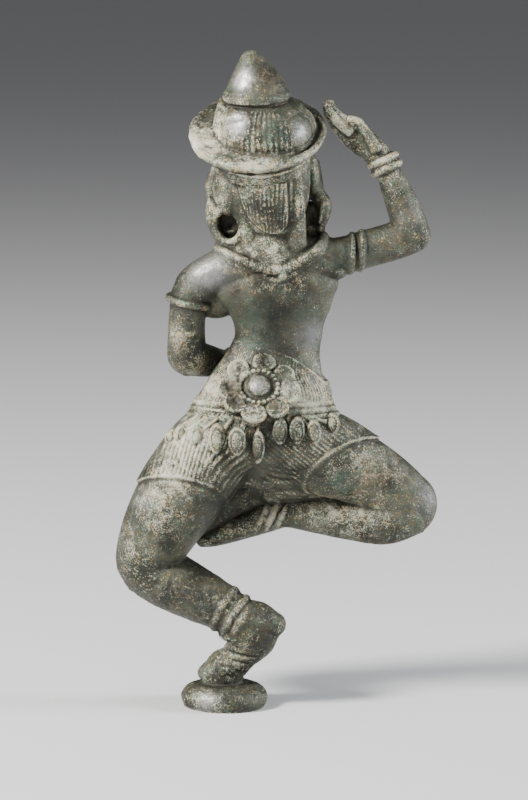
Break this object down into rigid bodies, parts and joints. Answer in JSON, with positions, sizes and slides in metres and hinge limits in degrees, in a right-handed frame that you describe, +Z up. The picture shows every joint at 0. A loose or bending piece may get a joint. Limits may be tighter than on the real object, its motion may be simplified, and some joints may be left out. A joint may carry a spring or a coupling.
{
  "type": "apsara figure",
  "caption": "Small cast bronze dancer on the toes of one foot on a round cushion base, with tilted crown, back rosette, belt of pendants and pleated skirt",
  "frame": {"origin": "middle of the base's flat underside, where it meets the surface it stands on", "axes": "+Z up along the figure, +X to the figure's own right side, +Y the way the figure faces"},
  "size_m": [0.0785, 0.03, 0.1603],
  "materials": {
    "bronze": "cast bronze with a dark green-brown patina, worn grey on the high places, dusty and rough in the hollows"
  },
  "bodies": {
    "root": {"apsara_figure": "bronze"}
  },
  "joints": []
}
